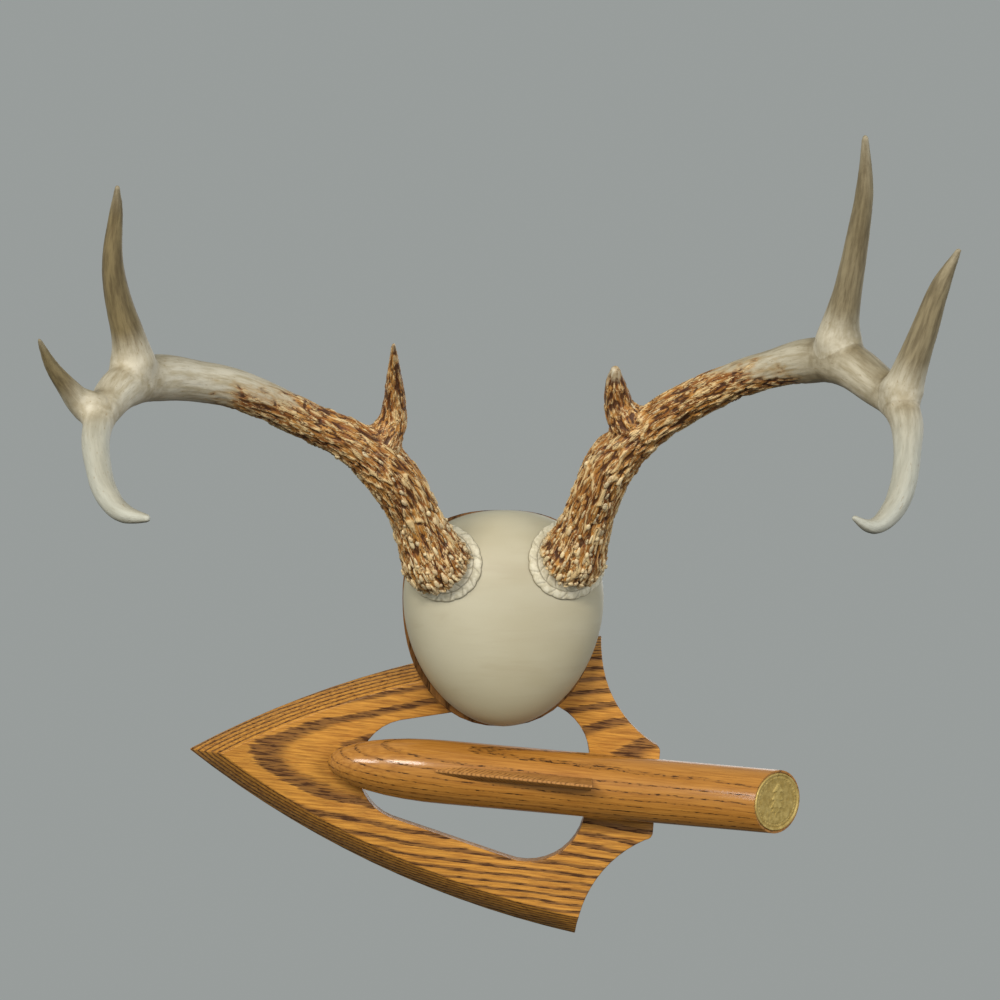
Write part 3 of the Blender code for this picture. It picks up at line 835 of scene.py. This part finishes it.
def pearlTree(material):
    # Geometry Nodes: beads set along the grain on the surface, in two layers
    tree = bpy.data.node_groups.new("pearlScatter", "GeometryNodeTree")
    tree.interface.new_socket("Geometry", in_out="INPUT", socket_type="NodeSocketGeometry")
    for layer in pearlLayers:
        tree.interface.new_socket(layer + "Spacing", in_out="INPUT", socket_type="NodeSocketFloat")
        tree.interface.new_socket(layer + "Size", in_out="INPUT", socket_type="NodeSocketFloat")
        tree.interface.new_socket(layer + "Seed", in_out="INPUT", socket_type="NodeSocketInt")
    tree.interface.new_socket("Geometry", in_out="OUTPUT", socket_type="NodeSocketGeometry")

    def node(kind, settings=None, inputs=None):
        made = tree.nodes.new(kind)
        for key, value in (settings or {}).items():
            setattr(made, key, value)
        for key, value in (inputs or {}).items():
            socket = made.inputs[key]
            if isinstance(value, bpy.types.NodeSocket):
                tree.links.new(value, socket)
            else:
                socket.default_value = value
        return made

    source = node("NodeGroupInput")
    joined = node("GeometryNodeJoinGeometry")
    tree.links.new(source.outputs["Geometry"], joined.inputs[0])
    for layer, look in pearlLayers.items():
        factor = node("GeometryNodeInputNamedAttribute", {"data_type": "FLOAT"}, {"Name": layer})
        lie = node("GeometryNodeInputNamedAttribute", {"data_type": "FLOAT_VECTOR"}, {"Name": "heading"})
        spots = node("GeometryNodeDistributePointsOnFaces", {"distribute_method": "POISSON"}, {
            "Mesh": source.outputs["Geometry"], "Distance Min": source.outputs[layer + "Spacing"],
            "Density Max": 900000.0, "Density Factor": factor.outputs[0],
            "Seed": source.outputs[layer + "Seed"],
        })
        normal = {"Vector": spots.outputs["Normal"]}
        upright = node("FunctionNodeAlignRotationToVector", {"axis": "Z"}, normal)
        turned = node("FunctionNodeAlignRotationToVector", {"axis": "X", "pivot_axis": "Z"}, {
            "Rotation": upright.outputs[0], "Vector": lie.outputs[0],
        })
        bead = node("GeometryNodeMeshUVSphere", None, {"Radius": mm, "Segments": 8, "Rings": 5})
        smoothBead = node("GeometryNodeSetShadeSmooth", None, {"Geometry": bead.outputs["Mesh"]})
        marked = node("GeometryNodeStoreNamedAttribute", {"data_type": "FLOAT", "domain": "POINT"}, {
            "Geometry": smoothBead.outputs[0], "Name": "pearl", "Value": 1.0,
        })
        size = node("FunctionNodeRandomValue", {"data_type": "FLOAT_VECTOR"}, {
            0: look["low"], 1: look["high"], "Seed": source.outputs[layer + "Seed"],
        })
        scale = node("ShaderNodeVectorMath", {"operation": "SCALE"}, {
            0: size.outputs[0], "Scale": source.outputs[layer + "Size"],
        })
        beads = node("GeometryNodeInstanceOnPoints", None, {
            "Points": spots.outputs["Points"], "Instance": marked.outputs[0],
            "Rotation": turned.outputs[0], "Scale": scale.outputs[0],
        })
        tree.links.new(beads.outputs[0], joined.inputs[0])
    solid = node("GeometryNodeRealizeInstances", None, {"Geometry": joined.outputs[0]})
    finished = node("GeometryNodeSetMaterial", None, {"Geometry": solid.outputs[0], "Material": material})
    result = node("NodeGroupOutput")
    tree.links.new(finished.outputs[0], result.inputs[0])
    return tree


def addPearls(mesh, tree, seed):
    helper = placed("pearlHelper", mesh)
    modifier = helper.modifiers.new("pearls", "NODES")
    modifier.node_group = tree
    inputs = [item for item in tree.interface.items_tree if item.in_out == "INPUT"]
    sockets = {item.name: item.identifier for item in inputs}
    for layer, look in pearlLayers.items():
        modifier[sockets[layer + "Spacing"]] = look["spacing"]
        modifier[sockets[layer + "Size"]] = 1.0
        modifier[sockets[layer + "Seed"]] = look["seed"] + seed
    result = plainMesh(helper)
    bpy.data.objects.remove(helper)
    return result


def makeNeck(side, branches):
    # the pedicle, from inside the cover up into the burr
    start, axis = footAxis(side, branches)
    top = branches[0]["centres"][np.searchsorted(branches[0]["at"], antlerShape["neckTop"])]
    centres = np.array([start - axis * antlerShape["neckDepth"], start, top])
    return makeBranch(centres, np.full(3, antlerShape["neckRadius"]))


def makeAntlers(antlers, material):
    tree = pearlTree(material)
    for seed, (side, branches) in enumerate(antlers.items()):
        mesh = remeshed(tubeMesh(branches + [makeNeck(side, branches)]), antlerShape["voxel"])
        carveAntler(mesh, branches, side, seed)
        mesh.shade_smooth()
        mesh = addPearls(mesh, tree, seed)
        nodes = [side + "_" + kind for kind in ("beam", "brow_tine", "second_tine", "third_tine")]
        piece = newPiece(side + "Antler", mesh, material, nodes, recalculate=False)
        print(side, "antler:", len(piece.data.polygons), "faces")


capShape = {
    "topShare": 43.8 / 107.5,
    "topPower": 2.2,
    "bottomPower": 1.9,
    "crownPower": 2.2,
    "wall": 2.0 * mm,
    "around": 120,
    "rows": 44,
    "holeRadius": 10.8 * mm,
    "drill": 30.0 * mm,
}


def capEgg():
    # the egg outline and the crown, read from the cover's box
    low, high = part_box("cap_cover")
    tall = high.z - low.z
    return {
        "centre": ((low.x + high.x) / 2, high.z - tall * capShape["topShare"]),
        "wide": (high.x - low.x) / 2,
        "top": tall * capShape["topShare"],
        "bottom": tall * (1 - capShape["topShare"]),
        "base": high.y,
        "crown": high.y - low.y,
    }


def eggRadius(egg, turn, grow=0.0):
    upper = np.sin(turn) >= 0
    power = np.where(upper, capShape["topPower"], capShape["bottomPower"])
    tall = np.where(upper, egg["top"], egg["bottom"]) + grow
    total = np.abs(np.cos(turn) / (egg["wide"] + grow)) ** power + np.abs(np.sin(turn) / tall) ** power
    return total ** (-1.0 / power)


def crownPoint(egg, x, z, lift=0.0):
    # the point on the cover in front of (x, z), lifted off it towards the viewer
    dx, dz = x - egg["centre"][0], z - egg["centre"][1]
    share = np.hypot(dx, dz) / eggRadius(egg, np.arctan2(dz, dx), lift)
    back = np.minimum(0.998 / share, 1.0)
    dx, dz, share = dx * back, dz * back, share * back
    rise = (1 - share ** capShape["crownPower"]) ** (1 / capShape["crownPower"])
    depth = egg["base"] - (egg["crown"] + lift) * rise
    return np.stack([egg["centre"][0] + dx, depth, egg["centre"][1] + dz], -1)


def footAxis(side, branches):
    # from the collar's middle to the burr
    low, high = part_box(side + "_collar")
    centres = branches[0]["centres"]
    start = np.array((low + high) / 2)
    axis = centres[1] - start
    return start, axis / np.linalg.norm(axis)


def dishFaces(count, bands):
    # a fan round point 0, then bands of count faces each
    faces = [(0, 1 + j, 1 + (j + 1) % count) for j in range(count)]
    for i in range(bands):
        for j in range(count):
            a, b = 1 + i * count + j, 1 + i * count + (j + 1) % count
            faces.append((a, a + count, b + count, b))
    return faces


def makeCap(antlers, material):
    egg = capEgg()
    count, rows = capShape["around"], capShape["rows"]
    points = [(egg["centre"][0], egg["base"] - egg["crown"], egg["centre"][1])]
    turns = np.linspace(0.0, math.tau, count, endpoint=False)
    reach = eggRadius(egg, turns)
    for i in range(1, rows + 1):
        lean = math.radians(90.0) * i / rows
        share = math.sin(lean) ** (2 / capShape["crownPower"])
        rise = max(math.cos(lean), 0.0) ** (2 / capShape["crownPower"])
        for turn, far in zip(turns, reach * share):
            x, z = egg["centre"][0] + far * math.cos(turn), egg["centre"][1] + far * math.sin(turn)
            points.append((x, egg["base"] - egg["crown"] * rise, z))
    mesh = newMesh("capCover", points, dishFaces(count, rows - 1))
    shape = bmesh.new()
    shape.from_mesh(mesh)
    bmesh.ops.recalc_face_normals(shape, faces=shape.faces)
    crown = max(shape.faces, key=lambda face: -face.calc_center_median().y)
    if crown.normal.y > 0:
        bmesh.ops.reverse_faces(shape, faces=shape.faces)
    shape.to_mesh(mesh)
    shape.free()
    helper = placed("capHelper", mesh)
    wall = helper.modifiers.new("wall", "SOLIDIFY")
    wall.thickness = capShape["wall"]
    wall.offset = -1.0
    drills = []
    for side, branches in antlers.items():
        start, axis = footAxis(side, branches)
        cutter = bmesh.new()
        radius = capShape["holeRadius"]
        bmesh.ops.create_cone(
            cutter, cap_ends=True, segments=48, radius1=radius, radius2=radius, depth=capShape["drill"],
        )
        drillMesh = bpy.data.meshes.new("drill")
        cutter.to_mesh(drillMesh)
        cutter.free()
        drill = placed("drill", drillMesh)
        drill.location = start
        drill.rotation_mode = "QUATERNION"
        drill.rotation_quaternion = Vector(axis).to_track_quat("Z", "Y")
        hole = helper.modifiers.new("hole", "BOOLEAN")
        hole.object = drill
        drills.append(drill)
    result = plainMesh(helper)
    for thing in (helper, *drills):
        bpy.data.objects.remove(thing)
    result.shade_smooth()
    result.set_sharp_from_angle(angle=math.radians(50.0))
    newPiece("capCover", result, material, ["cap_cover"], recalculate=False)


collarShape = {
    "inner": 11.2 * mm,
    "outer": 19.3 * mm,
    "lift": 0.35 * mm,
    "height": 2.6 * mm,
    "around": 272,
    "across": 22,
    "cells": 17,
    "scallop": 0.55 * mm,
    "edgeSeam": 0.9,
}


def makeCollar(side, branches, material):
    # two rows of soft cells laid like bricks round the pedicle, with dark seams and a scalloped rim
    egg = capEgg()
    start, axis = footAxis(side, branches)
    away = Vector(axis)
    across = np.array(away.orthogonal().normalized())
    over = np.cross(axis, across)
    count, rows = collarShape["around"], collarShape["across"]
    turns = np.linspace(0.0, math.tau, count, endpoint=False)
    cell = turns / math.tau * collarShape["cells"]
    hill = np.abs(np.sin(cell * math.pi))
    points, seams = [], []
    around = np.cos(turns)[:, None] * across + np.sin(turns)[:, None] * over
    edgeSeam = np.full(count, collarShape["edgeSeam"])
    for i in range(rows + 1):
        t = i / rows
        wave = collarShape["scallop"] * (hill ** 0.6 - 0.6) * t
        reach = collarShape["inner"] + (collarShape["outer"] - collarShape["inner"]) * t + wave
        inner = t < 0.5
        local = t * 2 if inner else t * 2 - 1
        phase = cell + (0.5 - 0.45 * local if inner else 0.45 * local)
        sideGap = np.abs((phase % 1.0) - 0.5) * 2
        rowGap = abs(local - 0.5) * 2
        dip = np.maximum(sideGap ** 9, rowGap ** 9)
        profile = math.cos(math.pi / 2 * max(t * 1.6 - 0.6, 0.0) * 0.96) ** 0.5
        rise = collarShape["height"] * (profile - 0.2 * dip)
        spots = start + reach[:, None] * around
        ground = crownPoint(egg, spots[:, 0], spots[:, 2])
        normal = crownNormal(egg, ground)
        points.append(ground + normal * (collarShape["lift"] + np.maximum(rise, 0.05 * mm))[:, None])
        seams.append(np.clip(dip ** 1.5 * 0.9 + (0.8 if t > 0.97 else 0.0), 0, 1) * np.ones(count))
        if i in (0, rows):
            place = 0 if i == 0 else len(points)
            points.insert(place, ground + normal * collarShape["lift"])
            seams.insert(place, edgeSeam)
    total = len(points)
    flat = np.concatenate(points)
    faces = []
    for i in range(total):
        k = (i + 1) % total
        for j in range(count):
            n = (j + 1) % count
            faces.append((i * count + j, k * count + j, k * count + n, i * count + n))
    mesh = newMesh(side + "Collar", flat, faces)
    writeNumbers(mesh, "seam", np.concatenate(seams))
    piece = newPiece(side + "Collar", mesh, material, [side + "_collar"])
    piece.data.shade_smooth()


def crownNormal(egg, points):
    # outward direction of the cover at points on it
    dx, dz = points[:, 0] - egg["centre"][0], points[:, 2] - egg["centre"][1]
    tall = np.where(dz >= 0, egg["top"], egg["bottom"])
    rise = np.maximum(egg["base"] - points[:, 1], 0.5 * mm)
    normal = np.stack([
        np.sign(dx) * np.abs(dx / egg["wide"]) ** 1.2 / egg["wide"],
        -((rise / egg["crown"]) ** 1.2) / egg["crown"],
        np.sign(dz) * np.abs(dz / tall) ** 1.2 / tall,
    ], 1)
    return normal / np.linalg.norm(normal, axis=1)[:, None]


medallionShape = {"around": 180, "rows": 64, "relief": 0.7 * mm, "beads": 44, "seed": 7}


def medallionHeight(x, y):
    # a plain rim, a ring of beads, and a fir tree over rolling ground
    reach = np.hypot(x, y)
    turn = np.arctan2(y, x)
    rim = smoothStep(0.9, 0.94, reach) * (1 - smoothStep(0.985, 1.0, reach))
    bead = np.exp(-((reach - 0.83) / 0.028) ** 2) * (0.5 + 0.5 * np.cos(turn * medallionShape["beads"]))
    tier = np.mod((0.62 - y) * 3.6, 1.0)
    width = 0.05 + 0.11 * np.clip(0.62 - y, 0, 1.2) + 0.15 * tier
    tree = smoothStep(0.03, -0.03, np.abs(x) - width) * (y < 0.62) * (y > -0.36)
    trunk = smoothStep(0.02, -0.02, np.abs(x) - 0.05) * (y <= -0.36) * (y > -0.52)
    ground = smoothStep(0.04, -0.04, y + 0.44 - 0.09 * np.sin(x * 5.0)) * 0.5
    hills = smoothStep(0.03, -0.03, y + 0.16 - 0.2 * np.abs(np.sin(x * 2.6 + 0.5))) * 0.3
    inside = 1 - smoothStep(0.74, 0.78, reach)
    picture = np.maximum.reduce([tree * (0.75 + 0.25 * tier), trunk, ground, hills]) * inside
    return np.maximum.reduce([rim, bead * 0.8, picture * 0.85])


def makeMedallion(material):
    shape = mergedShape("medallion")
    points = np.array([v.co for v in shape.verts])
    shape.free()
    centre = (points.max(0) + points.min(0)) / 2
    centre = points.mean(0) * 0.5 + centre * 0.5
    main = np.linalg.svd(points - points.mean(0), full_matrices=False)[2]
    longAxis = main[0] if main[0][0] > 0 else -main[0]
    upAxis = main[1] if main[1][2] > 0 else -main[1]
    out = np.cross(longAxis, upAxis)
    if out[1] > 0:
        out = -out
    spread = [np.ptp((points - centre) @ axis) / 2 for axis in (longAxis, upAxis, out)]
    count, rows = medallionShape["around"], medallionShape["rows"]
    turns = np.linspace(0.0, math.tau, count, endpoint=False)
    top, hollow = [], []
    for i in range(1, rows + 1):
        share = i / rows
        x, y = share * np.cos(turns), share * np.sin(turns)
        height = medallionHeight(x, y)
        hammered = noiseAt(np.stack([x * 7, y * 7, np.full(count, medallionShape["seed"])], 1)) * 0.28
        lift = spread[2] - medallionShape["relief"] * (0.55 - height * 0.75 - hammered * (share < 0.9))
        top.append(centre + (x * spread[0])[:, None] * longAxis + (y * spread[1])[:, None] * upAxis
                   + lift[:, None] * out)
        hollow.append(1 - np.clip(height * 1.4, 0, 1))
    middle = centre + out * (spread[2] - medallionShape["relief"] * 0.2)
    back = centre - out * spread[2]
    rimBack = top[-1] - out * (((top[-1] - centre) @ out)[:, None] + spread[2])
    flat = np.concatenate([[middle], *top, rimBack, [back]])
    faces = dishFaces(count, rows)
    last = len(flat) - 1
    faces += [(last, last - count + (j + 1) % count, last - count + j) for j in range(count)]
    mesh = newMesh("medallion", flat, faces)
    writeNumbers(mesh, "hollow", np.concatenate([[0.3], *hollow, np.ones(count), [1.0]]))
    piece = newPiece("medallionDisc", mesh, material, ["medallion"])
    piece.data.shade_smooth()
    piece.data.set_sharp_from_angle(angle=math.radians(60.0))


def addLamp(name, place, target, width, height, power, colour):
    data = bpy.data.lights.new(name, "AREA")
    data.shape = "RECTANGLE"
    data.size, data.size_y = width, height
    data.energy = power
    data.color = linear(colour)[:3]
    lamp = placed(name, data)
    lamp.location = place
    lamp.rotation_euler = (Vector(target) - Vector(place)).to_track_quat("-Z", "Y").to_euler()


def makeStudio():
    world = bpy.data.worlds.new("softRoom")
    bpy.context.scene.world = world
    world.use_nodes = True
    tree = world.node_tree
    spot = tree.nodes.new("ShaderNodeTexCoord")
    parts = tree.nodes.new("ShaderNodeSeparateXYZ")
    fade = tree.nodes.new("ShaderNodeMapRange")
    fade.interpolation_type = "SMOOTHSTEP"
    fade.inputs["From Min"].default_value, fade.inputs["From Max"].default_value = studio["fade"]
    shade = tree.nodes.new("ShaderNodeMix")
    shade.data_type = "RGBA"
    shade.inputs[6].default_value = linear(studio["ground"])
    shade.inputs[7].default_value = linear(studio["sky"])
    sky = tree.nodes["Background"]
    sky.inputs["Strength"].default_value = studio["strength"]
    tree.links.new(spot.outputs["Generated"], parts.inputs[0])
    tree.links.new(parts.outputs["Z"], fade.inputs["Value"])
    tree.links.new(fade.outputs[0], shade.inputs[0])
    tree.links.new(shade.outputs[2], sky.inputs["Color"])
    for name, facts in studioLamps.items():
        addLamp(name, *facts)
    camera = placed("camera", bpy.data.cameras.new("camera"))
    camera.data.lens = studio["lens"]
    camera.data.clip_end = 50.0
    camera.location = studio["eye"]
    camera.rotation_euler = (math.radians(90.0), 0.0, 0.0)
    bpy.context.scene.camera = camera
    bpy.context.scene.view_settings.view_transform = "Standard"


makeStudio()
print("studio ready")

easedCopy("bladeBoard", "blade_plaque", boardOak(), 0.5 * mm, 3)
easedCopy("dowelShaft", "shaft", shaftOak(), 0.6 * mm, 3)
easedCopy("thirdBlade", "third_blade", bladeOak(), 0.35 * mm)
easedCopy("backerBoard", "backer", backerOak(), 0.8 * mm, 3)
print("wood ready")

antlers = {side: readAntler(side) for side in ("left", "right")}
makeCap(antlers, capCream())
collarFinish = collarSkin()
for collarSide, collarBranches in antlers.items():
    makeCollar(collarSide, collarBranches, collarFinish)
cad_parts["skull_plate"].data.materials.clear()
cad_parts["skull_plate"].data.materials.append(skullBone())
print("cap and collars ready")

makeMedallion(medallionBrass())
print("medallion ready")

makeAntlers(antlers, antlerBone())
print("antlers ready")
